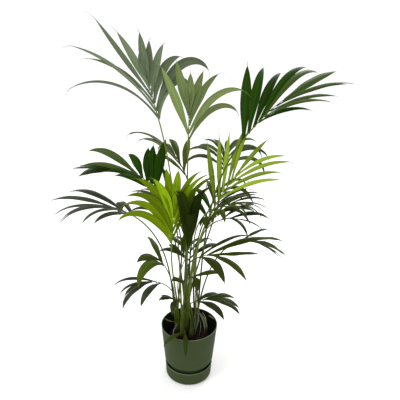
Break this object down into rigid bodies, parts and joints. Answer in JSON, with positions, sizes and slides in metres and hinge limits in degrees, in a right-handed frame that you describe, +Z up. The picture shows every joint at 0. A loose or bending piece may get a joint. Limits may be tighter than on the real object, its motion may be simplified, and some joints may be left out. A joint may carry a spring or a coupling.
{
  "type": "kentia palm",
  "caption": "Potted kentia palm: clustered upright stems with arching feathered fronds, in a tapered matt green plastic pot on a water reservoir.",
  "frame": {"origin": "centre of the pot's flat underside", "axes": "+Z up along the pot's axis, -Y towards the front, +X to the right as seen from the front"},
  "size_m": [1.1918, 0.7182, 1.4598],
  "materials": {
    "pot_plastic": "muted olive green moulded plastic, matt",
    "reservoir_plastic": "muted olive green moulded plastic, matt",
    "compost": "moist dark potting compost",
    "stem": "green palm stem in fibrous brown sheaths",
    "stalk": "smooth green leaf stalk",
    "leaf_grey": "palm leaf, matt grey-green underside",
    "leaf_mid": "palm leaf, mid green",
    "leaf_dark": "palm leaf, deep green, slightly glossy",
    "leaf_lime": "palm leaf, bright yellow-green with the light through it",
    "leaf_olive": "palm leaf, olive green"
  },
  "bodies": {
    "root": {"pot": "pot_plastic", "reservoir": "reservoir_plastic", "root_ball": "compost", "stem_left": "stem", "stem_front": "stem", "stem_back": "stem", "stem_right": "stem", "stem_middle": "stem", "stem_low": "stem", "tall_left_stalk": "stalk", "tall_left_blade": "leaf_grey", "tall_middle_stalk": "stalk", "tall_middle_blade": "leaf_mid", "tall_right_stalk": "stalk", "tall_right_blade": "leaf_dark", "broad_left_stalk": "stalk", "broad_left_blade": "leaf_dark", "side_left_stalk": "stalk", "side_left_blade": "leaf_olive", "front_lime_stalk": "stalk", "front_lime_blade": "leaf_lime", "right_lime_stalk": "stalk", "right_lime_blade": "leaf_lime", "back_left_stalk": "stalk", "back_left_blade": "leaf_olive", "back_right_stalk": "stalk", "back_right_blade": "leaf_olive", "side_right_stalk": "stalk", "side_right_blade": "leaf_olive", "side_right_low_stalk": "stalk", "side_right_low_blade": "leaf_olive", "arching_right_stalk": "stalk", "arching_right_blade": "leaf_olive", "front_dark_stalk": "stalk", "front_dark_blade": "leaf_dark", "inner_right_stalk": "stalk", "inner_right_blade": "leaf_olive", "inner_left_stalk": "stalk", "inner_left_blade": "leaf_dark", "low_right_stalk": "stalk", "low_right_blade": "leaf_olive", "far_right_stalk": "stalk", "far_right_blade": "leaf_olive", "rear_left_stalk": "stalk", "rear_left_blade": "leaf_olive", "rear_right_stalk": "stalk", "rear_right_blade": "leaf_dark", "rear_low_stalk": "stalk", "rear_low_blade": "leaf_olive", "low_left": "leaf_olive", "lowest_left": "leaf_olive", "inner_low_back": "leaf_olive", "inner_low_left": "leaf_olive", "inner_low_right": "leaf_olive", "pot_right": "leaf_olive", "pot_left": "leaf_olive", "pot_front": "leaf_olive"}
  },
  "joints": []
}
